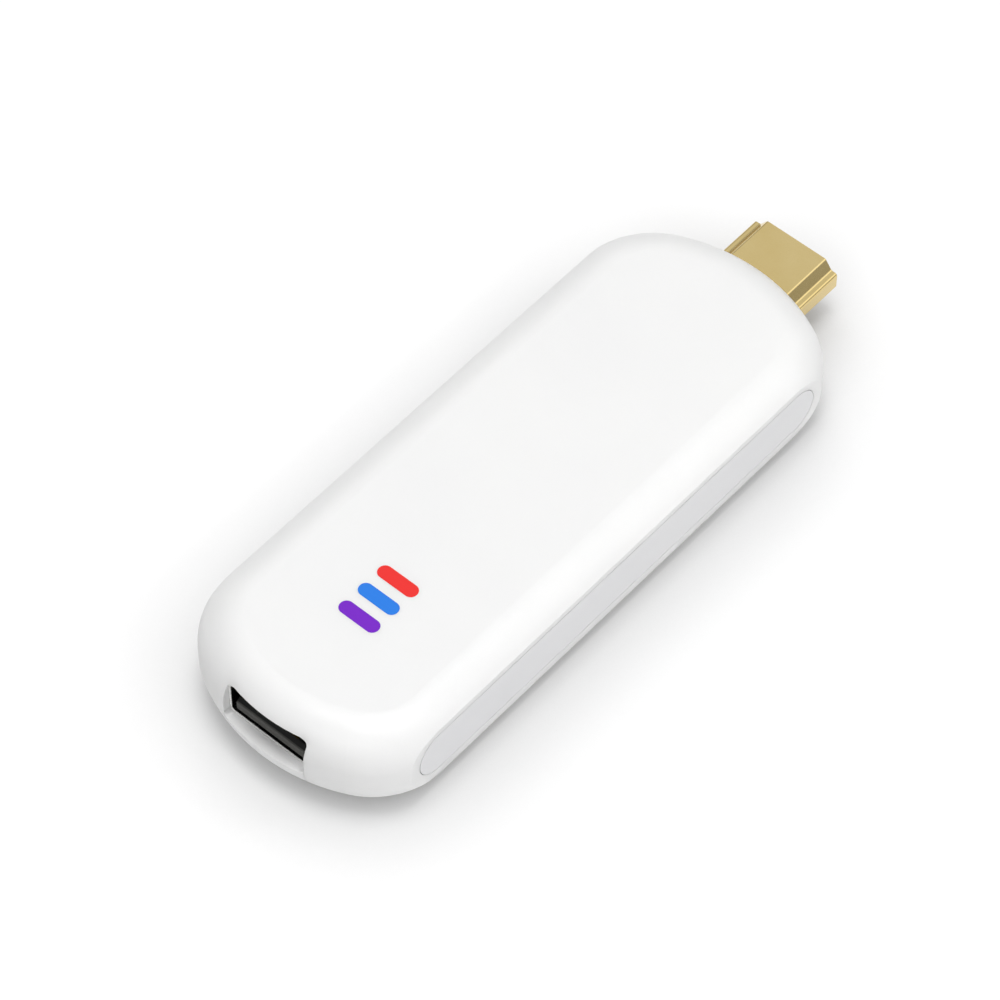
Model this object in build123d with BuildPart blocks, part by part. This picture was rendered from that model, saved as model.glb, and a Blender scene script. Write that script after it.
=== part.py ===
from build123d import *
import os
from math import atan2, degrees, sqrt

# Streaming stick. Sizes are in millimetres.
# X runs along the stick with the video plug at +X, Y across it, Z up.
# The origin is on the underside, midway between the plug's front and the casing's other end.

# Casing
body_length = 95.2
body_width = 37.1  # over the rounded sides, before the side flats are cut
body_height = 13.7
edge_radius = 5.8  # round along the top and bottom rims
corner_radius = 12.5  # plan view, where a side turns into an end
end_radius = 26.0  # plan view, across an end
side_flat_inset = 1.25
casing_wall = 1.4
seam_height = 2.4
fit_gap = 0.15  # between pieces that slot together
cut_margin = 5.0  # how far a cutting solid runs past what it cuts

# Side panels
panel_length = 75.2
panel_height = 6.85
panel_rise = 0.2  # its centre above the casing's mid-height
panel_thickness = 0.9
panel_gap = 0.1
panel_backing = 1.15  # casing left behind the panel's recess

# Lip, hooks, vents and end tabs of the bottom cover
lip_thickness = 0.9
lip_height = 1.8
lip_gap = 0.3
hook_length = 4.0
hook_height = 0.9
hook_reach = 0.4  # past the inner wall, into its pocket
hook_spacing = 18.0
hooks_per_side = 3
vent_length = 10.0
vent_width = 1.2
vent_spacing = 3.0
vent_count = 8
tab_gap = 0.05  # between a tab under a connector and the top shell

# Main board
board_thickness = 1.2
board_inset = 3.6  # from the casing's outline
board_near_inset = 5.5  # from the casing's port end to the board
board_far_inset = 6.5  # from the casing's plug end to the board
post_radius = 2.1
post_near_inset = 8.5  # from the board's port end
post_far_inset = 5.5  # from the board's plug end
post_port_gap = 0.85  # from a post to the data port's wings
locating_pin_radius = 0.8
locating_pin_height = 0.9  # above the board
screw_radius = 0.8
screw_head_radius = 1.5
screw_head_height = 0.9
screw_depth = 3.6  # below the board
screw_clearance = 0.05
screw_edge = 0.2
drive_width = 0.5
drive_depth = 0.45

# Video plug, narrow side up
plug_reach = 7.95  # past the casing
plug_width = 13.9
plug_height = 4.45
plug_ledge_width = 11.98
plug_top_width = 9.74
plug_ledge_height = 2.97
plug_bottom_radius = 0.6
plug_bend_radius = 0.45
plug_lead_in = 0.08  # bevel round its mouth
plug_bottom_z = 4.22
plug_wall = 0.3
plug_core_setback = 0.6
plug_slot_margin = 0.5  # narrower each side than the ledge
plug_slot_depth = 8.4
video_contact_width = 0.4
video_contact_thickness = 0.15
video_contact_spacing = 1.0
video_contacts_above = 10
video_contacts_below = 9
video_contact_setback = 1.2
video_pad_length = 2.0
plug_ear_width = 1.6
plug_ear_length = 3.0

# Data port, a receptacle sunk into the board
port_width = 12.5  # inside
port_height = 5.12  # inside
port_wall = 0.3
port_corner_radius = 0.8
port_bottom_z = 5.95  # inside
port_setback = 1.95  # behind the casing's end
port_end_wall = 2.8  # casing round its mouth
port_length = 13.0
port_gap = 0.06
port_wing_reach = 1.5
port_wing_length = 2.4
port_wing_front = 4.3  # from the port's front to the front pair
port_spring_width = 1.8
port_spring_start = 1.1  # behind the port's front
port_spring_peak = 3.4
port_spring_end = 5.3
port_spring_rise = 0.4
port_spring_y = 4.2
port_tongue_margin = 0.7  # from its edge to the shell
port_tongue_thickness = 1.84
port_tongue_drop = 0.66  # below it, to the shell
port_tongue_setback = 0.15
port_tongue_ramp_length = 0.7  # on its upper front edge
port_tongue_ramp_height = 0.5
port_block_length = 3.6
data_contact_width = 1.0
data_contact_thickness = 0.2
data_contact_inner_y = 1.0
data_contact_outer_y = 3.5
data_contact_setback = 0.05  # behind the ramp
data_contact_foot = 1.1

# Power inlet
inlet_place = 24.5  # from the casing's centre towards the plug
inlet_width = 7.5
inlet_height = 2.6
inlet_length = 5.6
inlet_wall = 0.25
inlet_chamfer = 0.7
inlet_setback = 1.0  # behind the panel's face
inlet_tongue_width = 3.9
inlet_tongue_thickness = 0.55
inlet_tongue_setback = 0.9
inlet_block_length = 1.6
power_contact_width = 0.3
power_contact_thickness = 0.12
power_contact_spacing = 0.65
power_contacts = 5
power_contact_foot = 0.7

# Memory card socket
card_place = -6.8  # from the casing's centre towards the plug
card_width = 14.0
card_depth = 14.6
card_floor = 0.45
card_rail_width = 1.2
card_rail_height = 1.55
card_sheet = 0.2
card_gap = 0.3  # from its mouth to the casing's inner wall
card_slot_margin = 0.2  # wider each side than the socket's inside
card_slot_height = 1.3
card_contact_width = 0.55
card_contact_length = 6.0
card_contact_thickness = 0.15
card_contact_spacing = 1.1
card_contacts_count = 8

# Reset switch
reset_place = 14.5  # from the casing's centre towards the plug
reset_width = 4.0
reset_depth = 2.9
reset_height = 1.6
reset_wall = 0.5
reset_sheet = 0.15
reset_travel = 0.25
reset_stem_width = 1.5
reset_stem_height = 0.8
reset_flange_thickness = 0.5
reset_flange_width = 2.3
reset_gap = 0.1
reset_end_gap = 0.3  # behind the flange at full travel
reset_stem_reach = 0.7  # past the switch's front
reset_wall_gap = 0.2  # from the stem's tip to the casing
reset_tip_round = 0.35
pin_hole_radius = 0.65

# Status light
light_place = 31.5  # from the casing's centre towards the plug
light_guide_radius = 0.8
light_guide_gap = 0.05
light_width = 1.6
light_depth = 0.9
light_height = 0.75
light_gap = 0.3  # to the casing's inner wall

# Processor, its pad and heat spreader
processor_place = 13.5  # from the casing's centre towards the plug
processor_y = -4.0
processor_size = 14.0
processor_height = 1.2
processor_corner = 0.3
pad_thickness = 0.5
pad_margin = 0.5
spreader_length = 22.0
spreader_side_gap = 1.5  # from its right edge to the casing's inner wall
spreader_overhang = 3.0  # past the processor on its other side
spreader_base = 1.0
spreader_gap = 0.3  # to the casing's ceiling
fin_thickness = 0.8
fin_count = 7

# Other pieces on the board's top
memory_length = 7.5
memory_width = 10.6
memory_height = 1.0
memory_place = -6.0  # of the pair, from the casing's centre
memory_gap = 0.8  # between the two
memory_edge_gap = 0.6  # to the board's right edge
flash_length = 11.5
flash_width = 13.0
flash_height = 1.0
flash_place = -20.3  # from the casing's centre
flash_y = -3.0
power_chip_size = 5.0
power_chip_height = 0.85
power_chip_gap = 0.9  # to the post beside it
power_chip_y = -9.5
inductor_size = 3.2
inductor_height = 1.6
inductor_corner = 0.5
inductor_inset = 10.0  # from the board's plug end to the row's middle
inductor_y = 0.5
inductor_spacing = 4.4
inductors_count = 3
crystal_length = 3.2
crystal_width = 2.5
crystal_height = 0.8
crystal_corner = 0.3
crystal_gap = 0.6  # to the capacitors
capacitor_length = 1.6
capacitor_width = 0.8
capacitor_height = 0.8
capacitor_spacing = 2.0
capacitors_count = 10
capacitor_gap = 1.2  # to the processor

# Wireless module under the board, and its antenna
module_place = -17.5  # from the casing's centre
module_y = 4.0
module_size = 12.0
module_thickness = 0.8
shield_size = 11.0
shield_height = 1.4
shield_wall = 0.2
antenna_length = 30.0
antenna_width = 6.5
antenna_thickness = 0.15
antenna_place = -12.5  # from the casing's centre
antenna_y = 8.0
socket_place = -26.0  # from the casing's centre
socket_y = 6.0
socket_radius = 1.0
socket_height = 0.7
plug_cap_radius = 1.3
plug_cap_height = 0.6
lead_radius = 0.55
lead_rise_start = 3.0  # straight run out of the cap
lead_rise_run = 9.0  # along X while it climbs
lead_end_run = 3.0  # straight run under the antenna
lead_bend_radius = 6.0

# Places worked out from the sizes above
port_outer_width = port_width + 2 * port_wall
port_outer_height = port_height + 2 * port_wall
port_cut_width = port_outer_width + 2 * port_gap
port_cut_height = port_outer_height + 2 * port_gap
port_cut_radius = port_corner_radius + port_gap
body_x = -plug_reach / 2
edge_round = min(edge_radius, 0.45 * body_height)
near_end_x = body_x - body_length / 2
far_end_x = body_x + body_length / 2
side_flat_y = body_width / 2 - side_flat_inset
side_inner_y = side_flat_y - panel_thickness - panel_backing
port_wall_x = near_end_x + port_end_wall
ceiling_z = body_height - casing_wall
panel_z = body_height / 2 + panel_rise
plug_front_x = far_end_x + plug_reach
plug_centre_z = plug_bottom_z + plug_height / 2
board_bottom_z = plug_centre_z - board_thickness / 2
board_top_z = board_bottom_z + board_thickness
board_near_x = near_end_x + board_near_inset
board_far_x = far_end_x - board_far_inset
board_half_width = body_width / 2 - board_inset
plug_back_x = board_far_x + fit_gap
plug_cut_width = plug_width + 2 * fit_gap
plug_cut_bottom_z = plug_bottom_z - fit_gap
lip_top_z = min(seam_height + lip_height, plug_cut_bottom_z)
port_front_x = near_end_x + port_setback
port_back_x = port_front_x + port_length
port_centre_z = port_bottom_z + port_height / 2
post_near_x = board_near_x + post_near_inset
post_far_x = board_far_x - post_far_inset
post_y = port_outer_width / 2 + port_wing_reach + post_port_gap + post_radius
screw_spots = [(post_near_x, -post_y), (post_far_x, post_y)]
pin_spots = [(post_near_x, post_y), (post_far_x, -post_y)]
inlet_x = body_x + inlet_place
inlet_centre_z = board_top_z + inlet_height / 2
inlet_front_y = side_flat_y - inlet_setback
inlet_back_y = inlet_front_y - inlet_length
card_x = body_x + card_place
card_front_y = side_inner_y - card_gap
card_slot_width = card_width - 2 * card_rail_width + 2 * card_slot_margin
card_slot_z = board_top_z + card_floor + card_slot_height / 2
reset_x = body_x + reset_place
reset_tip_y = side_inner_y - reset_wall_gap
reset_front_y = reset_tip_y - reset_stem_reach
reset_z = board_top_z + reset_wall + (reset_height - reset_wall) / 2
light_x = body_x + light_place
light_front_y = side_inner_y - light_gap
light_z = board_top_z + light_height / 2 + light_guide_radius / 2
processor_x = body_x + processor_place
spreader_z = board_top_z + processor_height + pad_thickness
spreader_right_y = spreader_side_gap - side_inner_y
spreader_width = processor_y + processor_size / 2 + spreader_overhang - spreader_right_y
spreader_y = spreader_right_y + spreader_width / 2
antenna_x = body_x + antenna_place
antenna_z = ceiling_z - antenna_thickness
socket_x = body_x + socket_place


def casing_outline(inset):
    """Lines of the casing's plan view, moved inwards by the inset."""
    corner_y = body_width / 2 - corner_radius
    end_x = body_length / 2 - end_radius
    lead = sqrt((end_radius - corner_radius) ** 2 - corner_y**2)
    tilt = degrees(atan2(corner_y, lead))
    corner_x = end_x + lead
    side_y = body_width / 2 - inset
    CenterArc((end_x, 0), end_radius - inset, -tilt, 2 * tilt)
    CenterArc((corner_x, corner_y), corner_radius - inset, tilt, 90 - tilt)
    CenterArc((corner_x, -corner_y), corner_radius - inset, -90, 90 - tilt)
    Line((corner_x, side_y), (0, side_y))
    Line((corner_x, -side_y), (0, -side_y))
    mirror(about=Plane.YZ)


def pillow(inset):
    """The casing's rounded block, moved inwards all over by the inset."""
    with BuildPart() as block:
        with BuildSketch(Plane((body_x, 0, inset))):
            with BuildLine():
                casing_outline(inset)
            make_face()
        extrude(amount=body_height - 2 * inset)
        fillet(block.faces().filter_by(Axis.Z).edges(), edge_round - inset)
    return block.part


def facing_x(x, y, z):
    """A plane that faces +X, with its own X along Y."""
    return Plane(origin=(x, y, z), x_dir=(0, 1, 0), z_dir=(1, 0, 0))


def facing_side(side, x, y, z):
    """A plane that faces +Y for side 1 and -Y for side -1, upright."""
    return Plane(origin=(x, side * y, z), x_dir=(-side, 0, 0), z_dir=(0, side, 0))


def plug_section(growth):
    """The video plug's outline, its bottom centre at the sketch's origin."""
    with BuildSketch() as section:
        with BuildLine():
            Polyline(
                (-plug_width / 2, 0),
                (plug_width / 2, 0),
                (plug_width / 2, plug_ledge_height),
                (plug_ledge_width / 2, plug_ledge_height),
                (plug_top_width / 2, plug_height),
                (-plug_top_width / 2, plug_height),
                (-plug_ledge_width / 2, plug_ledge_height),
                (-plug_width / 2, plug_ledge_height),
                close=True,
            )
        make_face()
        fillet(section.vertices().filter_by_position(Axis.Y, plug_ledge_height, plug_height), plug_bend_radius)
        fillet(section.vertices().group_by(Axis.Y)[0], plug_bottom_radius)
        if growth:
            offset(amount=growth, kind=Kind.INTERSECTION, mode=Mode.REPLACE)
    return section.sketch


def side_openings():
    """Outlines of the ways through the left side, drawn on its flat."""
    with BuildSketch(facing_side(1, 0, side_flat_y, 0)) as openings:
        with Locations((-inlet_x, inlet_centre_z)):
            Rectangle(inlet_width + 2 * fit_gap, inlet_height + 2 * fit_gap)
        with Locations((-card_x, card_slot_z)):
            Rectangle(card_slot_width, card_slot_height)
        with Locations((-reset_x, reset_z)):
            Circle(pin_hole_radius)
        with Locations((-light_x, light_z)):
            Circle(light_guide_radius + light_guide_gap)
    return openings.sketch


def bent_strip(run, drop, foot, thickness):
    """Lines of a contact's side view: a run back along -X, a leg down and a foot."""
    Polyline(
        (0, 0),
        (0, thickness),
        (-run, thickness),
        (-run, thickness - drop),
        (-run - foot, thickness - drop),
        (-run - foot, -drop),
        (-run + thickness, -drop),
        (-run + thickness, 0),
        close=True,
    )


os.makedirs("parts", exist_ok=True)
outer_pillow = pillow(0)
inner_pillow = pillow(casing_wall)

# Hollow inside the casing
with BuildPart() as cavity:
    add(inner_pillow)
    with Locations((port_wall_x, 0, body_height / 2)):
        Box(
            body_length,
            2 * side_inner_y,
            body_height,
            align=(Align.MIN, Align.CENTER, Align.CENTER),
            mode=Mode.INTERSECT,
        )

# Casing in one piece, with its side flats and the data port's way out
with BuildPart() as casing:
    add(outer_pillow)
    with Locations((body_x, 0, body_height / 2)):
        Box(body_length + cut_margin, 2 * side_flat_y, body_height + cut_margin, mode=Mode.INTERSECT)
    with BuildSketch(facing_x(port_back_x + fit_gap, 0, port_centre_z)):
        RectangleRounded(port_cut_width, port_cut_height, port_cut_radius)
    extrude(amount=-port_length - port_setback - cut_margin, mode=Mode.SUBTRACT)
    add(cavity.part, mode=Mode.SUBTRACT)

# Slots from the seam up to the two end connectors: end, width, top of the tab, top of the slot
end_slots = [
    (near_end_x, port_cut_width, port_centre_z, port_centre_z),
    (far_end_x, plug_cut_width, plug_cut_bottom_z, plug_bottom_z),
]
slot_reach = edge_round + casing_wall

# Top shell
hook_z = lip_top_z - hook_height / 2
with BuildPart() as top_shell:
    add(casing.part)
    split(bisect_by=Plane.XY.offset(seam_height), keep=Keep.TOP)
    # recess for each side panel
    for side in (1, -1):
        with BuildSketch(facing_side(side, body_x, side_flat_y, panel_z)):
            SlotOverall(panel_length + 2 * panel_gap, panel_height + 2 * panel_gap)
        extrude(amount=-panel_thickness, mode=Mode.SUBTRACT)
    # the plug's way out, and both ways out opened down to the seam
    with BuildSketch(facing_x(far_end_x - slot_reach, 0, plug_bottom_z)):
        add(plug_section(fit_gap))
    extrude(amount=2 * slot_reach, mode=Mode.SUBTRACT)
    for end_x, width, tab_top_z, slot_top_z in end_slots:
        with Locations((end_x, 0, 0)):
            Box(
                2 * slot_reach,
                width,
                slot_top_z,
                align=(Align.CENTER, Align.CENTER, Align.MIN),
                mode=Mode.SUBTRACT,
            )
    # ways through the left wall, and a groove that lets the power inlet's nose in from below
    extrude(side_openings(), amount=-(side_flat_y - side_inner_y + cut_margin), mode=Mode.SUBTRACT)
    with Locations((inlet_x, inlet_front_y + fit_gap, 0)):
        Box(
            inlet_width + 2 * fit_gap,
            inlet_length,
            inlet_centre_z,
            align=(Align.CENTER, Align.MAX, Align.MIN),
            mode=Mode.SUBTRACT,
        )
    # pockets for the cover's hooks
    with Locations((body_x, 0, hook_z)):
        with GridLocations(hook_spacing, 0, hooks_per_side, 1):
            Box(
                hook_length + 2 * fit_gap,
                2 * (side_inner_y + hook_reach + fit_gap),
                hook_height + 2 * fit_gap,
                mode=Mode.SUBTRACT,
            )
    # posts that hold the board down
    for x, y in pin_spots:
        with Locations((x, y, board_top_z)):
            Cylinder(
                post_radius,
                ceiling_z - board_top_z + casing_wall / 2,
                align=(Align.CENTER, Align.CENTER, Align.MIN),
            )
            Cylinder(
                locating_pin_radius + fit_gap,
                locating_pin_height + fit_gap,
                align=(Align.CENTER, Align.CENTER, Align.MIN),
                mode=Mode.SUBTRACT,
            )

# Bottom cover, with a tab under each end connector
with BuildPart() as cover_zone:
    with Locations((body_x, 0, 0)):
        Box(
            body_length + cut_margin,
            body_width + cut_margin,
            seam_height,
            align=(Align.CENTER, Align.CENTER, Align.MIN),
        )
    for end_x, width, tab_top_z, slot_top_z in end_slots:
        with Locations((end_x, 0, 0)):
            Box(
                2 * slot_reach,
                width - 2 * tab_gap,
                tab_top_z,
                align=(Align.CENTER, Align.CENTER, Align.MIN),
            )

lip_inset = body_width / 2 - side_inner_y + lip_gap
with BuildPart() as bottom_cover:
    add(casing.part)
    add(cover_zone.part, mode=Mode.INTERSECT)
    # lip inside the top shell
    with BuildSketch(Plane((body_x, 0, casing_wall / 2))):
        with BuildLine():
            casing_outline(lip_inset)
        make_face()
        with BuildLine():
            casing_outline(lip_inset + lip_thickness)
        make_face(mode=Mode.SUBTRACT)
    extrude(amount=lip_top_z - casing_wall / 2)
    # hooks on the lip
    hook_depth = hook_reach + lip_gap + lip_thickness / 2
    for side in (1, -1):
        with Locations((body_x, side * (side_inner_y + hook_reach - hook_depth / 2), hook_z)):
            with GridLocations(hook_spacing, 0, hooks_per_side, 1):
                Box(hook_length, hook_depth, hook_height)
    # posts under the board
    for x, y in screw_spots + pin_spots:
        with Locations((x, y, casing_wall / 2)):
            Cylinder(
                post_radius,
                board_bottom_z - casing_wall / 2,
                align=(Align.CENTER, Align.CENTER, Align.MIN),
            )
    for x, y in screw_spots:
        with Locations((x, y, board_bottom_z)):
            Cylinder(
                screw_radius + screw_clearance,
                screw_depth + fit_gap,
                align=(Align.CENTER, Align.CENTER, Align.MAX),
                mode=Mode.SUBTRACT,
            )
    for x, y in pin_spots:
        with Locations((x, y, board_bottom_z)):
            Cylinder(
                locating_pin_radius,
                board_thickness + locating_pin_height,
                align=(Align.CENTER, Align.CENTER, Align.MIN),
            )
    # vents under the processor
    with BuildSketch(Plane((processor_x, 0, 0))):
        with GridLocations(vent_spacing, 0, vent_count, 1):
            SlotOverall(vent_length, vent_width, rotation=90)
    extrude(amount=casing_wall, mode=Mode.SUBTRACT)

# Side panels, the left one with the openings
with BuildPart() as right_side_panel:
    with BuildSketch(facing_side(-1, body_x, side_flat_y, panel_z)):
        SlotOverall(panel_length, panel_height)
    extrude(amount=-panel_thickness)

with BuildPart() as left_side_panel:
    with BuildSketch(facing_side(1, body_x, side_flat_y, panel_z)):
        SlotOverall(panel_length, panel_height)
    extrude(amount=-panel_thickness)
    extrude(side_openings(), amount=-panel_thickness, mode=Mode.SUBTRACT)

# Main board
with BuildPart() as main_board:
    with BuildSketch(Plane((body_x, 0, board_bottom_z))):
        with BuildLine():
            casing_outline(board_inset)
        make_face()
        with Locations(((board_near_x + board_far_x) / 2 - body_x, 0)):
            Rectangle(board_far_x - board_near_x, body_width, mode=Mode.INTERSECT)
    extrude(amount=board_thickness)
    with Locations((port_back_x + fit_gap, 0, board_bottom_z)):
        Box(
            body_length,
            port_outer_width + 2 * fit_gap,
            board_thickness,
            align=(Align.MAX, Align.CENTER, Align.MIN),
            mode=Mode.SUBTRACT,
        )
    for x, y in screw_spots + pin_spots:
        with Locations((x, y, board_bottom_z)):
            Cylinder(
                max(screw_radius, locating_pin_radius) + fit_gap,
                board_thickness,
                align=(Align.CENTER, Align.CENTER, Align.MIN),
                mode=Mode.SUBTRACT,
            )

# Screws that hold the board
with BuildPart() as board_screws:
    for x, y in screw_spots:
        with Locations((x, y, board_top_z)):
            Cylinder(
                screw_radius,
                board_thickness + screw_depth,
                align=(Align.CENTER, Align.CENTER, Align.MAX),
            )
            Cylinder(
                screw_head_radius,
                screw_head_height,
                align=(Align.CENTER, Align.CENTER, Align.MIN),
            )
    chamfer(board_screws.faces().group_by(Axis.Z)[-1].edges(), screw_edge)
    for x, y in screw_spots:
        with Locations((x, y, board_top_z + screw_head_height)):
            for turn in (0, 90):
                Box(
                    2 * screw_radius,
                    drive_width,
                    drive_depth,
                    rotation=(0, 0, turn),
                    align=(Align.CENTER, Align.CENTER, Align.MAX),
                    mode=Mode.SUBTRACT,
                )

# Video plug
with BuildPart() as video_plug_shell:
    with BuildSketch(facing_x(plug_back_x, 0, plug_bottom_z)):
        add(plug_section(0))
        add(plug_section(-plug_wall), mode=Mode.SUBTRACT)
    extrude(amount=plug_front_x - plug_back_x)
    chamfer(video_plug_shell.faces().sort_by(Axis.X)[-1].outer_wire().edges(), plug_lead_in)
    # ears that are soldered to the board
    for side in (1, -1):
        with Locations((plug_back_x, side * (plug_ledge_width / 2 - plug_wall), board_top_z)):
            Box(
                plug_ear_length,
                plug_ear_width,
                plug_wall,
                align=(Align.MAX, Align.MIN if side > 0 else Align.MAX, Align.MIN),
            )

with BuildPart() as video_plug_contacts:
    contact_back_x = board_far_x - video_pad_length
    contact_length = plug_front_x - video_contact_setback - contact_back_x
    with Locations((contact_back_x, 0, board_top_z)):
        with GridLocations(0, video_contact_spacing, 1, video_contacts_above):
            Box(
                contact_length,
                video_contact_width,
                video_contact_thickness,
                align=(Align.MIN, Align.CENTER, Align.MIN),
            )
    with Locations((contact_back_x, 0, board_bottom_z)):
        with GridLocations(0, video_contact_spacing, 1, video_contacts_below):
            Box(
                contact_length,
                video_contact_width,
                video_contact_thickness,
                align=(Align.MIN, Align.CENTER, Align.MAX),
            )

with BuildPart() as video_plug_core:
    core_front_x = plug_front_x - plug_core_setback
    with BuildSketch(facing_x(board_far_x, 0, plug_bottom_z)):
        add(plug_section(-plug_wall))
    extrude(amount=core_front_x - board_far_x)
    with Locations((core_front_x, 0, plug_centre_z)):
        Box(
            plug_slot_depth,
            plug_ledge_width - 2 * plug_slot_margin,
            board_thickness + 2 * video_contact_thickness,
            align=(Align.MAX, Align.CENTER, Align.CENTER),
            mode=Mode.SUBTRACT,
        )
    add(video_plug_contacts.part, mode=Mode.SUBTRACT)

# Data port
with BuildPart() as data_port_shell:
    with BuildSketch(facing_x(port_front_x, 0, port_centre_z)):
        RectangleRounded(port_outer_width, port_outer_height, port_corner_radius)
        RectangleRounded(
            port_width,
            port_height,
            port_corner_radius - port_wall,
            mode=Mode.SUBTRACT,
        )
    extrude(amount=port_length)
    # springs pressed in from the floor and the roof
    for face_z, rise in (
        (port_bottom_z, port_spring_rise),
        (port_bottom_z + port_height, -port_spring_rise),
    ):
        for side in (1, -1):
            with BuildSketch(Plane.XZ.offset(-side * port_spring_y - port_spring_width / 2)):
                with BuildLine():
                    Polyline(
                        (port_front_x + port_spring_start, face_z),
                        (port_front_x + port_spring_peak, face_z + rise),
                        (port_front_x + port_spring_end, face_z),
                        close=True,
                    )
                make_face()
            extrude(amount=port_spring_width)
    # wings that are soldered to the board
    for x in (port_front_x + port_wing_front, port_back_x - port_wing_length):
        for side in (1, -1):
            with Locations((x, side * (port_outer_width / 2 - port_wall / 2), board_top_z)):
                Box(
                    port_wing_length,
                    port_wing_reach + port_wall / 2,
                    port_wall,
                    align=(Align.MIN, Align.MIN if side > 0 else Align.MAX, Align.MIN),
                )

tongue_front_x = port_front_x + port_tongue_setback
tongue_root_x = port_back_x - port_block_length / 2
tongue_bottom_z = port_bottom_z + port_tongue_drop
tongue_top_z = tongue_bottom_z + port_tongue_thickness
with BuildPart() as data_port_contacts:
    contact_x = tongue_front_x + port_tongue_ramp_length + data_contact_setback
    contact_run = port_back_x + 2 * data_contact_thickness - contact_x
    spots = [-data_contact_outer_y, -data_contact_inner_y, data_contact_inner_y, data_contact_outer_y]
    for y in spots:
        with BuildSketch(Plane(origin=(contact_x, y, tongue_top_z), x_dir=(-1, 0, 0), z_dir=(0, 1, 0))):
            with BuildLine():
                bent_strip(
                    contact_run,
                    tongue_top_z - board_top_z,
                    data_contact_foot,
                    data_contact_thickness,
                )
            make_face()
        extrude(amount=data_contact_width / 2, both=True)

with BuildPart() as data_port_tongue:
    with BuildSketch(facing_x(port_back_x, 0, port_centre_z)):
        RectangleRounded(port_width, port_height, port_corner_radius - port_wall)
    extrude(amount=-port_block_length)
    with BuildSketch(Plane.XZ):
        with BuildLine():
            Polyline(
                (tongue_front_x, tongue_bottom_z),
                (tongue_root_x, tongue_bottom_z),
                (tongue_root_x, tongue_top_z),
                (tongue_front_x + port_tongue_ramp_length, tongue_top_z),
                (tongue_front_x, tongue_top_z - port_tongue_ramp_height),
                close=True,
            )
        make_face()
    extrude(amount=port_width / 2 - port_tongue_margin, both=True)
    add(data_port_contacts.part, mode=Mode.SUBTRACT)

# Power inlet on the left side
with BuildPart() as power_inlet_shell:
    with BuildSketch(facing_side(1, inlet_x, inlet_back_y, inlet_centre_z)):
        block = Rectangle(inlet_width, inlet_height)
        chamfer(block.vertices().group_by(Axis.Y)[0], inlet_chamfer)
        offset(amount=-inlet_wall, kind=Kind.INTERSECTION, mode=Mode.SUBTRACT)
    extrude(amount=inlet_length)

with BuildPart() as power_inlet_contacts:
    power_front_y = inlet_front_y - inlet_tongue_setback - inlet_wall
    strip_bottom_z = inlet_centre_z + inlet_tongue_thickness / 2 - power_contact_thickness
    for number in range(power_contacts):
        x = inlet_x + (number - (power_contacts - 1) / 2) * power_contact_spacing
        with BuildSketch(Plane(origin=(x, power_front_y, strip_bottom_z), x_dir=(0, 1, 0), z_dir=(1, 0, 0))):
            with BuildLine():
                bent_strip(
                    power_front_y - inlet_back_y + 2 * power_contact_thickness,
                    strip_bottom_z - board_top_z,
                    power_contact_foot,
                    power_contact_thickness,
                )
            make_face()
        extrude(amount=power_contact_width / 2, both=True)

with BuildPart() as power_inlet_tongue:
    with BuildSketch(facing_side(1, inlet_x, inlet_back_y, inlet_centre_z)):
        block = Rectangle(inlet_width, inlet_height)
        chamfer(block.vertices().group_by(Axis.Y)[0], inlet_chamfer)
        offset(amount=-inlet_wall, kind=Kind.INTERSECTION, mode=Mode.REPLACE)
    extrude(amount=inlet_block_length)
    with Locations((inlet_x, inlet_front_y - inlet_tongue_setback, inlet_centre_z)):
        Box(
            inlet_tongue_width,
            inlet_length - inlet_tongue_setback - inlet_block_length / 2,
            inlet_tongue_thickness,
            align=(Align.CENTER, Align.MAX, Align.CENTER),
        )
    add(power_inlet_contacts.part, mode=Mode.SUBTRACT)

# Memory card socket
with BuildPart() as card_socket_base:
    with Locations((card_x, card_front_y, board_top_z)):
        Box(
            card_width,
            card_depth,
            card_rail_height,
            align=(Align.CENTER, Align.MAX, Align.MIN),
        )
    with Locations((card_x, card_front_y, board_top_z + card_floor)):
        Box(
            card_width - 2 * card_rail_width,
            card_depth - card_rail_width,
            card_rail_height,
            align=(Align.CENTER, Align.MAX, Align.MIN),
            mode=Mode.SUBTRACT,
        )

with BuildPart() as card_socket_cover:
    with Locations((card_x, card_front_y, board_top_z)):
        Box(
            card_width + 2 * card_sheet,
            card_depth,
            card_rail_height + card_sheet,
            align=(Align.CENTER, Align.MAX, Align.MIN),
        )
        Box(
            card_width,
            card_depth,
            card_rail_height,
            align=(Align.CENTER, Align.MAX, Align.MIN),
            mode=Mode.SUBTRACT,
        )

with BuildPart() as card_socket_contacts:
    with Locations((card_x, card_front_y - card_depth / 2, board_top_z + card_floor)):
        with GridLocations(card_contact_spacing, 0, card_contacts_count, 1):
            Box(
                card_contact_width,
                card_contact_length,
                card_contact_thickness,
                align=(Align.CENTER, Align.CENTER, Align.MIN),
            )

# Reset switch on the left side
flange_front_y = reset_front_y - reset_wall - reset_gap
pocket_length = reset_flange_thickness + reset_travel + reset_gap + reset_end_gap
with BuildPart() as reset_switch_base:
    with Locations((reset_x, reset_front_y, board_top_z)):
        Box(
            reset_width,
            reset_depth,
            reset_height,
            align=(Align.CENTER, Align.MAX, Align.MIN),
        )
    with Locations((reset_x, reset_front_y - reset_wall, board_top_z + reset_height)):
        Box(
            reset_flange_width + 2 * reset_gap,
            pocket_length,
            reset_height - reset_wall,
            align=(Align.CENTER, Align.MAX, Align.MAX),
            mode=Mode.SUBTRACT,
        )
    with Locations((reset_x, reset_front_y, board_top_z + reset_height)):
        Box(
            reset_stem_width + 2 * reset_gap,
            reset_wall,
            reset_height - reset_wall,
            align=(Align.CENTER, Align.MAX, Align.MAX),
            mode=Mode.SUBTRACT,
        )

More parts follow.
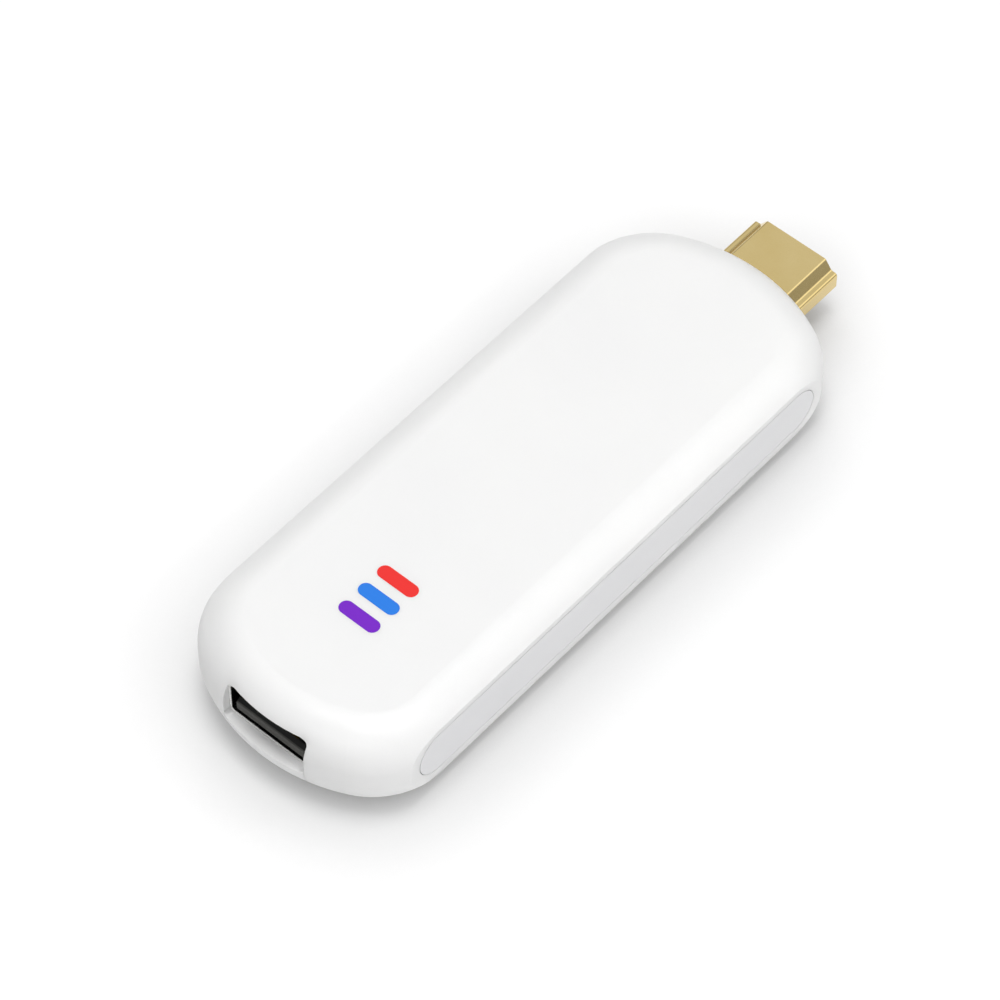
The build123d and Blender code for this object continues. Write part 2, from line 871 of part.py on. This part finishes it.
with BuildPart() as reset_switch_cover:
    with Locations((reset_x, reset_front_y, board_top_z)):
        Box(
            reset_width + 2 * reset_sheet,
            reset_depth,
            reset_height + reset_sheet,
            align=(Align.CENTER, Align.MAX, Align.MIN),
        )
        Box(
            reset_width,
            reset_depth,
            reset_height,
            align=(Align.CENTER, Align.MAX, Align.MIN),
            mode=Mode.SUBTRACT,
        )

with BuildPart() as reset_plunger:
    with Locations((reset_x, reset_tip_y, reset_z)):
        Box(
            reset_stem_width,
            reset_tip_y - flange_front_y + reset_flange_thickness,
            reset_stem_height,
            align=(Align.CENTER, Align.MAX, Align.CENTER),
        )
    with Locations((reset_x, flange_front_y, reset_z)):
        Box(
            reset_flange_width,
            reset_flange_thickness,
            reset_stem_height,
            align=(Align.CENTER, Align.MAX, Align.CENTER),
        )
    tip_edges = reset_plunger.faces().sort_by(Axis.Y)[-1].edges().filter_by(Axis.Z)
    fillet(tip_edges, reset_tip_round)

# Status light and the clear rod in front of it
with BuildPart() as status_light:
    with Locations((light_x, light_front_y, board_top_z)):
        Box(
            light_width,
            light_depth,
            light_height,
            align=(Align.CENTER, Align.MAX, Align.MIN),
        )

with BuildPart() as light_guide:
    with BuildSketch(facing_side(1, light_x, side_inner_y, light_z)):
        Circle(light_guide_radius)
    extrude(amount=side_flat_y - side_inner_y)

# Processor with its pad and heat spreader
with BuildPart() as processor:
    with Locations((processor_x, processor_y, board_top_z)):
        Box(
            processor_size,
            processor_size,
            processor_height,
            align=(Align.CENTER, Align.CENTER, Align.MIN),
        )
    chamfer(processor.edges().filter_by(Axis.Z), processor_corner)

with BuildPart() as thermal_pad:
    with Locations((processor_x, processor_y, board_top_z + processor_height)):
        Box(
            processor_size - 2 * pad_margin,
            processor_size - 2 * pad_margin,
            pad_thickness,
            align=(Align.CENTER, Align.CENTER, Align.MIN),
        )

with BuildPart() as heat_spreader:
    spreader_top_z = ceiling_z - spreader_gap
    with Locations((processor_x, spreader_y, spreader_z)):
        Box(
            spreader_length,
            spreader_width,
            spreader_base,
            align=(Align.CENTER, Align.CENTER, Align.MIN),
        )
        with GridLocations(0, (spreader_width - fin_thickness) / (fin_count - 1), 1, fin_count):
            Box(
                spreader_length,
                fin_thickness,
                spreader_top_z - spreader_z,
                align=(Align.CENTER, Align.CENTER, Align.MIN),
            )

# Other chips and small pieces on the board
with BuildPart() as memory_chips:
    memory_y = memory_edge_gap + memory_width / 2 - board_half_width
    with Locations((body_x + memory_place, memory_y, board_top_z)):
        with GridLocations(memory_length + memory_gap, 0, 2, 1):
            Box(
                memory_length,
                memory_width,
                memory_height,
                align=(Align.CENTER, Align.CENTER, Align.MIN),
            )

with BuildPart() as flash_chip:
    with Locations((body_x + flash_place, flash_y, board_top_z)):
        Box(
            flash_length,
            flash_width,
            flash_height,
            align=(Align.CENTER, Align.CENTER, Align.MIN),
        )

with BuildPart() as power_chip:
    with Locations((post_far_x - post_radius - power_chip_gap, power_chip_y, board_top_z)):
        Box(
            power_chip_size,
            power_chip_size,
            power_chip_height,
            align=(Align.MAX, Align.CENTER, Align.MIN),
        )

with BuildPart() as inductors:
    with Locations((board_far_x - inductor_inset, inductor_y, board_top_z)):
        with GridLocations(0, inductor_spacing, 1, inductors_count):
            Box(
                inductor_size,
                inductor_size,
                inductor_height,
                align=(Align.CENTER, Align.CENTER, Align.MIN),
            )
    chamfer(inductors.edges().filter_by(Axis.Z), inductor_corner)

capacitor_y = processor_y + processor_size / 2 + capacitor_gap
with BuildPart() as capacitors:
    with Locations((processor_x, capacitor_y, board_top_z)):
        with GridLocations(capacitor_spacing, 0, capacitors_count, 1):
            Box(
                capacitor_width,
                capacitor_length,
                capacitor_height,
                align=(Align.CENTER, Align.MIN, Align.MIN),
            )

with BuildPart() as crystal:
    with Locations((processor_x, capacitor_y + capacitor_length + crystal_gap, board_top_z)):
        Box(
            crystal_length,
            crystal_width,
            crystal_height,
            align=(Align.CENTER, Align.MIN, Align.MIN),
        )
    fillet(crystal.edges().filter_by(Axis.Z), crystal_corner)

# Wireless module under the board
module_x = body_x + module_place
with BuildPart() as wireless_module:
    with Locations((module_x, module_y, board_bottom_z)):
        Box(
            module_size,
            module_size,
            module_thickness,
            align=(Align.CENTER, Align.CENTER, Align.MAX),
        )

with BuildPart() as wireless_shield:
    with Locations((module_x, module_y, board_bottom_z - module_thickness)):
        Box(
            shield_size,
            shield_size,
            shield_height,
            align=(Align.CENTER, Align.CENTER, Align.MAX),
        )
        Box(
            shield_size - 2 * shield_wall,
            shield_size - 2 * shield_wall,
            shield_height - shield_wall,
            align=(Align.CENTER, Align.CENTER, Align.MAX),
            mode=Mode.SUBTRACT,
        )

# Antenna on the ceiling, its socket, cap and lead
with BuildPart() as antenna:
    with Locations((antenna_x, antenna_y, antenna_z)):
        Box(
            antenna_length,
            antenna_width,
            antenna_thickness,
            align=(Align.CENTER, Align.CENTER, Align.MIN),
        )

with BuildPart() as antenna_socket:
    with Locations((socket_x, socket_y, board_top_z)):
        Cylinder(socket_radius, socket_height, align=(Align.CENTER, Align.CENTER, Align.MIN))

cap_z = board_top_z + socket_height
lead_z = cap_z + plug_cap_height + lead_radius
with BuildPart() as antenna_cap:
    with Locations((socket_x, socket_y, cap_z)):
        Cylinder(plug_cap_radius, plug_cap_height, align=(Align.CENTER, Align.CENTER, Align.MIN))

lead_top_z = antenna_z - lead_radius
lead_climb_x = socket_x + lead_rise_start
lead_level_x = lead_climb_x + lead_rise_run
with BuildPart() as antenna_lead:
    with BuildLine() as lead_path:
        FilletPolyline(
            (socket_x - plug_cap_radius, socket_y, lead_z),
            (lead_climb_x, socket_y, lead_z),
            (lead_level_x, antenna_y, lead_top_z),
            (lead_level_x + lead_end_run, antenna_y, lead_top_z),
            radius=lead_bend_radius,
        )
    with BuildSketch(Plane(origin=lead_path.line @ 0, z_dir=lead_path.line % 0)):
        Circle(lead_radius)
    sweep()

pieces = {
    "top_shell": top_shell,
    "bottom_cover": bottom_cover,
    "right_side_panel": right_side_panel,
    "left_side_panel": left_side_panel,
    "main_board": main_board,
    "board_screws": board_screws,
    "video_plug_shell": video_plug_shell,
    "video_plug_core": video_plug_core,
    "video_plug_contacts": video_plug_contacts,
    "data_port_shell": data_port_shell,
    "data_port_tongue": data_port_tongue,
    "data_port_contacts": data_port_contacts,
    "power_inlet_shell": power_inlet_shell,
    "power_inlet_tongue": power_inlet_tongue,
    "power_inlet_contacts": power_inlet_contacts,
    "card_socket_base": card_socket_base,
    "card_socket_cover": card_socket_cover,
    "card_socket_contacts": card_socket_contacts,
    "reset_switch_base": reset_switch_base,
    "reset_switch_cover": reset_switch_cover,
    "reset_plunger": reset_plunger,
    "status_light": status_light,
    "light_guide": light_guide,
    "processor": processor,
    "thermal_pad": thermal_pad,
    "heat_spreader": heat_spreader,
    "memory_chips": memory_chips,
    "flash_chip": flash_chip,
    "power_chip": power_chip,
    "inductors": inductors,
    "crystal": crystal,
    "capacitors": capacitors,
    "wireless_module": wireless_module,
    "wireless_shield": wireless_shield,
    "antenna": antenna,
    "antenna_socket": antenna_socket,
    "antenna_cap": antenna_cap,
    "antenna_lead": antenna_lead,
}
for label, piece in pieces.items():
    piece.part.label = label
    export_step(piece.part, f"parts/{label}.step")
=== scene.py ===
import bpy
from mathutils import Matrix, Vector


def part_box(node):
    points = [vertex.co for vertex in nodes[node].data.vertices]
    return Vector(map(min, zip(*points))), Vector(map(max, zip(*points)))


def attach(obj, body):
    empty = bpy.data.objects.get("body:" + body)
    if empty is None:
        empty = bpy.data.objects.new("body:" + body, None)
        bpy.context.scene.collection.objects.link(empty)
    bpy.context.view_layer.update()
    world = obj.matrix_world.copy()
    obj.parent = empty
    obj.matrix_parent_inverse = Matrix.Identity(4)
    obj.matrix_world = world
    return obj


# A white streaming stick on a white table. Metres throughout, with sizes in the dictionaries in millimetres.
mm = 0.001
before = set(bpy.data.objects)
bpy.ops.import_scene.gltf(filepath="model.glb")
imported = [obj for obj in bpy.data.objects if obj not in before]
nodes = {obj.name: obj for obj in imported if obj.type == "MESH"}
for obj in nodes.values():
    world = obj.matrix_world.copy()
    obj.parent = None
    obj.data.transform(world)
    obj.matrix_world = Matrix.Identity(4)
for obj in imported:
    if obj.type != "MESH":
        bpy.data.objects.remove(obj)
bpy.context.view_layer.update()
bpy.ops.object.select_all(action="DESELECT")
print("frame loaded:", len(nodes), "nodes")

# Camera, at the photograph's angle
cameraLook = {
    "place": (-258.008, -219.789, 461.098),
    "right": (0.65921, -0.75195, 0.0),
    "up": (0.60414, 0.52963, 0.59540),
    "back": (-0.44771, -0.39250, 0.80343),
    "lens": 162.0,
    "sensor": 36.0,
}
bpy.ops.object.camera_add()
camera = bpy.context.object
camera.name = "camera"
camera.data.lens = cameraLook["lens"]
camera.data.sensor_width = cameraLook["sensor"]
camera.data.clip_start = 0.01
camera.data.clip_end = 20.0
turn = Matrix([cameraLook["right"], cameraLook["up"], cameraLook["back"]]).transposed()
camera.matrix_world = Matrix.Translation(Vector(cameraLook["place"]) * mm) @ turn.to_4x4()
bpy.context.scene.camera = camera
print("camera set")


def toLinear(hexColour):
    parts = [int(hexColour[i:i + 2], 16) / 255 for i in (1, 3, 5)]
    return [c / 12.92 if c <= 0.04045 else ((c + 0.055) / 1.055) ** 2.4 for c in parts] + [1.0]


def addNode(tree, kind, settings={}, links={}):
    node = tree.nodes.new(kind)
    for name, value in settings.items():
        if isinstance(name, int) or name in node.inputs:
            node.inputs[name].default_value = value
        else:
            setattr(node, name, value)
    for name, source in links.items():
        tree.links.new(source, node.inputs[name])
    return node


def startMaterial(name):
    material = bpy.data.materials.new(name)
    material.use_nodes = True
    material.node_tree.nodes.clear()
    return material, material.node_tree


# What every finish here shares: a grain of a real size in mm, a slow cloudy change of tone,
# and roughness and bump that follow the grain
noiseLook = {"grainDetail": 3.0, "cloudDetail": 2.0, "grainShare": 0.4,
             "tone": (0.45, 0.95), "spread": (0.3, 0.7)}


def makeFinish(name, look):
    material, tree = startMaterial(name)
    place = addNode(tree, "ShaderNodeTexCoord")
    stretch = addNode(tree, "ShaderNodeMapping", {"Scale": look.get("stretch", (1, 1, 1))},
                      {"Vector": place.outputs["Object"]})
    grain = addNode(tree, "ShaderNodeTexNoise",
                    {"Scale": 1 / (look["grain"] * mm), "Detail": noiseLook["grainDetail"]},
                    {"Vector": stretch.outputs["Vector"]})
    cloud = addNode(tree, "ShaderNodeTexNoise",
                    {"Scale": 1 / (look["cloud"] * mm), "Detail": noiseLook["cloudDetail"]},
                    {"Vector": place.outputs["Object"]})
    blend = addNode(tree, "ShaderNodeMath", {"operation": "MULTIPLY_ADD", 1: noiseLook["grainShare"]},
                    {0: grain.outputs["Fac"], 2: cloud.outputs["Fac"]})
    tone = addNode(tree, "ShaderNodeMapRange",
                   {"From Min": noiseLook["tone"][0], "From Max": noiseLook["tone"][1]},
                   {"Value": blend.outputs[0]})
    colour = addNode(tree, "ShaderNodeMix", {"data_type": "RGBA", 6: toLinear(look["dark"]),
                                             7: toLinear(look["light"])}, {0: tone.outputs["Result"]})
    rough = addNode(tree, "ShaderNodeMapRange",
                    {"From Min": noiseLook["spread"][0], "From Max": noiseLook["spread"][1],
                     "To Min": look["rough"][0], "To Max": look["rough"][1]},
                    {"Value": grain.outputs["Fac"]})
    bump = addNode(tree, "ShaderNodeBump", {"Strength": look["bump"], "Distance": look["depth"] * mm},
                   {"Height": grain.outputs["Fac"]})
    shader = addNode(tree, "ShaderNodeBsdfPrincipled", look.get("shader", {}),
                     {"Base Color": colour.outputs[2], "Roughness": rough.outputs["Result"],
                      "Normal": bump.outputs["Normal"]})
    addNode(tree, "ShaderNodeOutputMaterial", {}, {"Surface": shader.outputs["BSDF"]})
    return material


def wear(material, *names):
    for name in names:
        slots = nodes[name].material_slots
        for slot in slots:
            slot.material = material
        if not slots:
            nodes[name].data.materials.append(material)


# A thin band at a piece's front, seen from the port's end, painted lighter than the rest: painted light on a
# lit front face
def paintLitFront(material, name, look):
    tree = material.node_tree
    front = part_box(name)[0].x
    place = addNode(tree, "ShaderNodeTexCoord")
    along = addNode(tree, "ShaderNodeSeparateXYZ", {}, {0: place.outputs["Object"]})
    paintedLightBand = addNode(tree, "ShaderNodeMapRange", {"From Min": front + look["paintedLightReach"] / 2 * mm,
                                                "From Max": front + look["paintedLightReach"] * mm,
                                                "To Min": 1.0, "To Max": 0.0}, {"Value": along.outputs["X"]})
    finish = next(node for node in tree.nodes if node.type == "BSDF_PRINCIPLED").inputs
    mixed = addNode(tree, "ShaderNodeMix", {"data_type": "RGBA", 7: toLinear(look["front"])},
                    {0: paintedLightBand.outputs["Result"], 6: finish["Base Color"].links[0].from_socket})
    tree.links.new(mixed.outputs[2], finish["Base Color"])
    if "paintedLightMetal" in look:
        metal = addNode(tree, "ShaderNodeMix", {2: look["shader"]["Metallic"], 3: look["paintedLightMetal"]},
                        {0: paintedLightBand.outputs["Result"]})
        tree.links.new(metal.outputs[0], finish["Metallic"])


# Satin ABS, injection moulded against a spark-eroded tool: white with a soft sheen and a very fine grain
casingLook = {"dark": "#F0F0F0", "light": "#F5F5F4", "grain": 0.18, "cloud": 30.0, "rough": (0.38, 0.46),
              "bump": 0.06, "depth": 0.01,
              "shader": {"Subsurface Weight": 0.5, "Subsurface Radius": (1.0, 1.0, 1.0),
                         "Subsurface Scale": 1.2 * mm}}
wear(makeFinish("abs_satin_moulded", casingLook), "top_shell", "bottom_cover")

# The same ABS from a flatter tool, a shade greyer
panelLook = {"dark": "#E6E6E8", "light": "#EBEBEC", "grain": 0.15, "cloud": 25.0, "rough": (0.42, 0.5),
             "bump": 0.06, "depth": 0.01}
wear(makeFinish("abs_panel_moulded", panelLook), "right_side_panel", "left_side_panel")

# Gold over bright nickel on brass strip, stamped and folded: a pale warm gold, almost mirror bright
plugLook = {"dark": "#DCC486", "light": "#E2CC92", "grain": 0.3, "cloud": 6.0, "rough": (0.1, 0.17),
            "bump": 0.02, "depth": 0.002, "shader": {"Metallic": 1.0}}
wear(makeFinish("gold_plated_brass_stamped", plugLook), "video_plug_shell")

# Hard gold flash over nickel, on the contacts: deeper and brighter
contactLook = {"dark": "#D8A64A", "light": "#EBC062", "grain": 0.05, "cloud": 2.0, "rough": (0.18, 0.28),
               "bump": 0.05, "depth": 0.002, "shader": {"Metallic": 1.0}}
wear(makeFinish("gold_flash_plated", contactLook), "video_plug_contacts", "data_port_contacts",
     "power_inlet_contacts", "card_socket_contacts", "antenna_socket", "antenna_cap")

# Glass-filled nylon, moulded: black, dull, with faint flow marks
nylonLook = {"dark": "#121213", "light": "#1E1E20", "grain": 0.12, "cloud": 3.0, "rough": (0.48, 0.62),
             "bump": 0.12, "depth": 0.006}
wear(makeFinish("glass_filled_nylon_moulded", nylonLook), "video_plug_core", "power_inlet_tongue",
     "card_socket_base", "reset_switch_base")

# The port's tongue, of the same nylon from a dull tool: black, hardly any sheen; its front face is painted
# grey, a painted highlight where that face is lit
tongueLook = {"dark": "#0E0E0E", "light": "#141413", "grain": 0.12, "cloud": 3.0, "rough": (0.55, 0.68),
              "bump": 0.08, "depth": 0.004, "shader": {"Specular IOR Level": 0.2}, "front": "#4E4E4B",
              "paintedLightReach": 0.2}
tongueNylonLitFront = makeFinish("nylon_dull_painted_lit_front", tongueLook)
paintLitFront(tongueNylonLitFront, "data_port_tongue", tongueLook)
wear(tongueNylonLitFront, "data_port_tongue")

# Tinned steel strip, stamped: silver, with rolling lines
steelLook = {"dark": "#B4B5B7", "light": "#CFD0D2", "grain": 0.1, "cloud": 5.0, "rough": (0.22, 0.34),
             "stretch": (0.08, 1, 1), "bump": 0.06, "depth": 0.003, "shader": {"Metallic": 1.0}}
wear(makeFinish("steel_tinned_stamped", steelLook), "card_socket_cover", "reset_switch_cover",
     "wireless_shield")

# Bright nickel on deep-drawn steel, on the power inlet's sleeve: silver and smooth
sleeveLook = {"dark": "#C2C2C0", "light": "#D6D6D4", "grain": 0.25, "cloud": 5.0, "rough": (0.2, 0.3),
              "bump": 0.02, "depth": 0.002, "shader": {"Metallic": 1.0}}
wear(makeFinish("steel_bright_nickel", sleeveLook), "power_inlet_shell")

# The data port's sleeve, of the same steel, coloured dark as painted shade for the inside of the port; its
# front rim is painted near white and less metallic, a painted highlight
portLook = {"dark": "#4A4A49", "light": "#5C5C5A", "grain": 0.25, "cloud": 5.0, "rough": (0.24, 0.34),
            "bump": 0.02, "depth": 0.002, "shader": {"Metallic": 1.0}, "front": "#F6F6F4", "paintedLightReach": 0.1,
            "paintedLightMetal": 0.15}
portSteelPaintedShadeLitRim = makeFinish("steel_painted_shade_lit_rim", portLook)
paintLitFront(portSteelPaintedShadeLitRim, "data_port_shell", portLook)
wear(portSteelPaintedShadeLitRim, "data_port_shell")

# Glass-fibre board under green solder mask: gloss, mottled by the cloth under it
boardLook = {"dark": "#0C4A2B", "light": "#17633C", "grain": 0.4, "cloud": 6.0, "rough": (0.25, 0.38),
             "bump": 0.15, "depth": 0.01, "shader": {"Coat Weight": 0.4}}
wear(makeFinish("glass_epoxy_solder_masked", boardLook), "main_board", "wireless_module")

# Zinc-plated steel, cold headed
screwLook = {"dark": "#A6AAB0", "light": "#C3C7CC", "grain": 0.06, "cloud": 1.0, "rough": (0.25, 0.4),
             "bump": 0.1, "depth": 0.003, "shader": {"Metallic": 1.0}}
wear(makeFinish("steel_zinc_plated", screwLook), "board_screws")

# Acetal, moulded: the reset plunger, near black and slippery
plungerLook = {"dark": "#2A2A2C", "light": "#353537", "grain": 0.1, "cloud": 1.0, "rough": (0.3, 0.42),
               "bump": 0.08, "depth": 0.004}
wear(makeFinish("acetal_moulded", plungerLook), "reset_plunger")

# Epoxy moulding compound on the chips: near black, matt, with a sandy laser-marked grain
chipLook = {"dark": "#17181A", "light": "#26272A", "grain": 0.08, "cloud": 4.0, "rough": (0.5, 0.65),
            "bump": 0.2, "depth": 0.006}
wear(makeFinish("epoxy_compound_moulded", chipLook), "processor", "memory_chips", "flash_chip", "power_chip")

# Silicone gap pad, calendered: soft grey-pink, matt
padLook = {"dark": "#9C8F94", "light": "#B3A6AB", "grain": 0.3, "cloud": 3.0, "rough": (0.7, 0.85),
           "bump": 0.3, "depth": 0.02}
wear(makeFinish("silicone_pad_calendered", padLook), "thermal_pad")

# Aluminium sheet, brushed across the stick
spreaderLook = {"dark": "#A9ACAF", "light": "#C6C8CB", "grain": 0.15, "cloud": 9.0, "rough": (0.3, 0.45),
                "stretch": (1, 0.04, 1), "bump": 0.12, "depth": 0.004, "shader": {"Metallic": 1.0}}
wear(makeFinish("aluminium_brushed", spreaderLook), "heat_spreader")

# Sintered ferrite: charcoal, slightly sparkly
ferriteLook = {"dark": "#2B2C2F", "light": "#45464A", "grain": 0.07, "cloud": 1.5, "rough": (0.4, 0.6),
               "bump": 0.3, "depth": 0.01}
wear(makeFinish("ferrite_sintered", ferriteLook), "inductors")

# Nickel-plated can, deep drawn
canLook = {"dark": "#BDB9B0", "light": "#D4D0C6", "grain": 0.06, "cloud": 1.5, "rough": (0.2, 0.32),
           "bump": 0.06, "depth": 0.002, "shader": {"Metallic": 1.0}}
wear(makeFinish("nickel_plated_drawn", canLook), "crystal")

# Fired ceramic: tan brown, eggshell
ceramicLook = {"dark": "#7A5F46", "light": "#9A7B5C", "grain": 0.05, "cloud": 0.8, "rough": (0.4, 0.55),
               "bump": 0.15, "depth": 0.004}
wear(makeFinish("ceramic_fired", ceramicLook), "capacitors")

# Polyimide film, laminated: amber brown, glossy
filmLook = {"dark": "#6B4418", "light": "#8C5C22", "grain": 0.25, "cloud": 5.0, "rough": (0.2, 0.35),
            "bump": 0.08, "depth": 0.006, "shader": {"Coat Weight": 0.3}}
wear(makeFinish("polyimide_film_laminated", filmLook), "antenna")

# Fluoropolymer jacket, extruded: grey, waxy
jacketLook = {"dark": "#3A3B3D", "light": "#4C4D50", "grain": 0.1, "cloud": 2.0, "rough": (0.3, 0.45),
              "bump": 0.08, "depth": 0.004}
wear(makeFinish("fluoropolymer_extruded", jacketLook), "antenna_lead")

# Epoxy lens, cast: milky amber-white
lensLook = {"dark": "#E6DFC9", "light": "#F2ECD9", "grain": 0.08, "cloud": 0.8, "rough": (0.2, 0.3),
            "bump": 0.04, "depth": 0.003, "shader": {"Transmission Weight": 0.3, "IOR": 1.5}}
wear(makeFinish("epoxy_lens_cast", lensLook), "status_light")

# Acrylic, moulded clear: the light guide
acrylicLook = {"dark": "#EEF2F3", "light": "#F8FBFB", "grain": 0.2, "cloud": 2.0, "rough": (0.04, 0.1),
               "bump": 0.03, "depth": 0.003, "shader": {"Transmission Weight": 0.85, "IOR": 1.49}}
wear(makeFinish("acrylic_clear_moulded", acrylicLook), "light_guide")
print("finishes made")

# Printed mark: three short rounded bars side by side, pad printed, with ink a hair proud of the top
barLook = {"names": ("bar_violet", "bar_blue", "bar_red"), "inks": ("#7416C2", "#1F7BE2", "#EA2A26"),
           "places": (-33.2, -29.7, -26.2), "width": 2.0, "length": 6.2, "proud": 0.02, "sunk": 0.05,
           "round": 0.98, "segments": 12}
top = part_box("top_shell")[1].z
thickness = (barLook["proud"] + barLook["sunk"]) * mm
for name, ink, place in zip(barLook["names"], barLook["inks"], barLook["places"]):
    bpy.ops.object.select_all(action="DESELECT")
    middle = top + (barLook["proud"] - barLook["sunk"]) / 2 * mm
    bpy.ops.mesh.primitive_cube_add(size=1, location=(place * mm, 0, middle))
    bar = bpy.context.object
    bar.name = name
    bar.scale = (barLook["width"] * mm, barLook["length"] * mm, thickness)
    bpy.ops.object.transform_apply(location=True, rotation=True, scale=True)
    bpy.ops.object.mode_set(mode="EDIT")
    bpy.ops.mesh.select_mode(type="EDGE")
    bpy.ops.mesh.select_all(action="DESELECT")
    bpy.ops.object.mode_set(mode="OBJECT")
    for edge in bar.data.edges:  # the four upright ones
        ends = [bar.data.vertices[i].co for i in edge.vertices]
        edge.select = abs(ends[0].z - ends[1].z) > thickness / 2
    bpy.ops.object.mode_set(mode="EDIT")
    bpy.ops.mesh.bevel(offset=barLook["round"] * barLook["width"] / 2 * mm, segments=barLook["segments"])
    bpy.ops.object.mode_set(mode="OBJECT")
    # Two-part ink, pad printed: dense, satin, slightly pebbled
    inkLook = {"dark": ink, "light": ink, "grain": 0.1, "cloud": 2.0, "rough": (0.34, 0.44), "bump": 0.05,
               "depth": 0.003, "shader": {"Specular IOR Level": 0.3}}
    bar.data.materials.append(makeFinish("ink_pad_printed_" + name.split("_")[1], inkLook))
    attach(bar, "stick")
print("mark printed")

# Table: its white comes from its own glow, dimmed by ambient occlusion where the stick is near as a painted
# shadow beside the lamps' real one, so lamps stay at a plain level
floorLook = {"size": 4000.0, "drop": 0.05, "colour": "#E6E6E6", "boost": 0.46, "glow": 0.68, "reach": 17.0,
             "samples": 16}
bpy.ops.mesh.primitive_plane_add(size=floorLook["size"] * mm, location=(0, 0, -floorLook["drop"] * mm))
floor = bpy.context.object
floor.name = "floor"
material, tree = startMaterial("table_white_laminate")
plain = addNode(tree, "ShaderNodeBsdfDiffuse", {"Color": toLinear(floorLook["colour"])})
bright = [channel * floorLook["boost"] for channel in toLinear(floorLook["colour"])[:3]] + [1.0]
lit = addNode(tree, "ShaderNodeBsdfDiffuse", {"Color": bright})
# Ambient occlusion darkens the table's glow close to the stick: a painted shadow
occlusionPaintedShadow = addNode(tree, "ShaderNodeAmbientOcclusion", {"Distance": floorLook["reach"] * mm,
                                                    "samples": floorLook["samples"]})
glowWithPaintedShadow = addNode(tree, "ShaderNodeEmission", {"Strength": floorLook["glow"]}, {"Color": occlusionPaintedShadow.outputs["Color"]})
shown = addNode(tree, "ShaderNodeAddShader", {}, {0: lit.outputs[0], 1: glowWithPaintedShadow.outputs[0]})
rays = addNode(tree, "ShaderNodeLightPath")
direct = addNode(tree, "ShaderNodeMath", {"operation": "MAXIMUM"},
                 {0: rays.outputs["Is Camera Ray"], 1: rays.outputs["Is Glossy Ray"]})
clear = addNode(tree, "ShaderNodeMath", {"operation": "MAXIMUM"},
                {0: direct.outputs[0], 1: rays.outputs["Is Transmission Ray"]})
pick = addNode(tree, "ShaderNodeMixShader", {},
               {0: clear.outputs[0], 1: plain.outputs[0], 2: shown.outputs[0]})
addNode(tree, "ShaderNodeOutputMaterial", {}, {"Surface": pick.outputs[0]})
floor.data.materials.append(material)

# Soft lamps; two of them stay out of reflections, so the plug's top and the mark keep their colour
lampLooks = {
    "lampTop": {"place": (0, 0, 900), "size": 350, "power": 4.72},
    "lampBack": {"place": (350, 450, 700), "size": 500, "power": 1.62, "shine": False},
    "lampRight": {"place": (440, -540, 680), "size": 700, "power": 0.88},
    "lampPort": {"place": (-700, -220, 520), "size": 500, "power": 2.0},
    "lampLow": {"place": (0, -800, 180), "size": 400, "power": 1.95, "shine": False},
}
for name, look in lampLooks.items():
    place = Vector(look["place"]) * mm
    bpy.ops.object.light_add(type="AREA", location=place)
    lamp = bpy.context.object
    lamp.name = name
    lamp.data.size = look["size"] * mm
    lamp.data.energy = look["power"]
    lamp.visible_glossy = look.get("shine", True)
    lamp.rotation_euler = place.to_track_quat("Z", "Y").to_euler()

# Room: dim as light, but metal and gloss see it as pale walls that darken towards the table
skyLook = {"fill": 0.1, "low": 0.55, "high": 1.0, "lowEnd": 0.3, "highEnd": 0.75}
world = bpy.data.worlds.new("room")
bpy.context.scene.world = world
world.use_nodes = True
tree = world.node_tree
tree.nodes.clear()
way = addNode(tree, "ShaderNodeTexCoord")
height = addNode(tree, "ShaderNodeSeparateXYZ", {}, {0: way.outputs["Generated"]})
walls = addNode(tree, "ShaderNodeMapRange", {"From Min": skyLook["lowEnd"], "From Max": skyLook["highEnd"],
                                             "To Min": skyLook["low"], "To Max": skyLook["high"]},
                {"Value": height.outputs["Z"]})
rays = addNode(tree, "ShaderNodeLightPath")
gloss = addNode(tree, "ShaderNodeMix", {2: skyLook["fill"]},
                {0: rays.outputs["Is Glossy Ray"], 3: walls.outputs["Result"]})
direct = addNode(tree, "ShaderNodeMath", {"operation": "MAXIMUM"},
                 {0: rays.outputs["Is Camera Ray"], 1: rays.outputs["Is Transmission Ray"]})
level = addNode(tree, "ShaderNodeMath", {"operation": "MAXIMUM"}, {0: direct.outputs[0], 1: gloss.outputs[0]})
sky = addNode(tree, "ShaderNodeBackground", {}, {"Strength": level.outputs[0]})
addNode(tree, "ShaderNodeOutputWorld", {}, {"Surface": sky.outputs[0]})
bpy.context.scene.view_settings.view_transform = "Standard"
print("floor and light set")
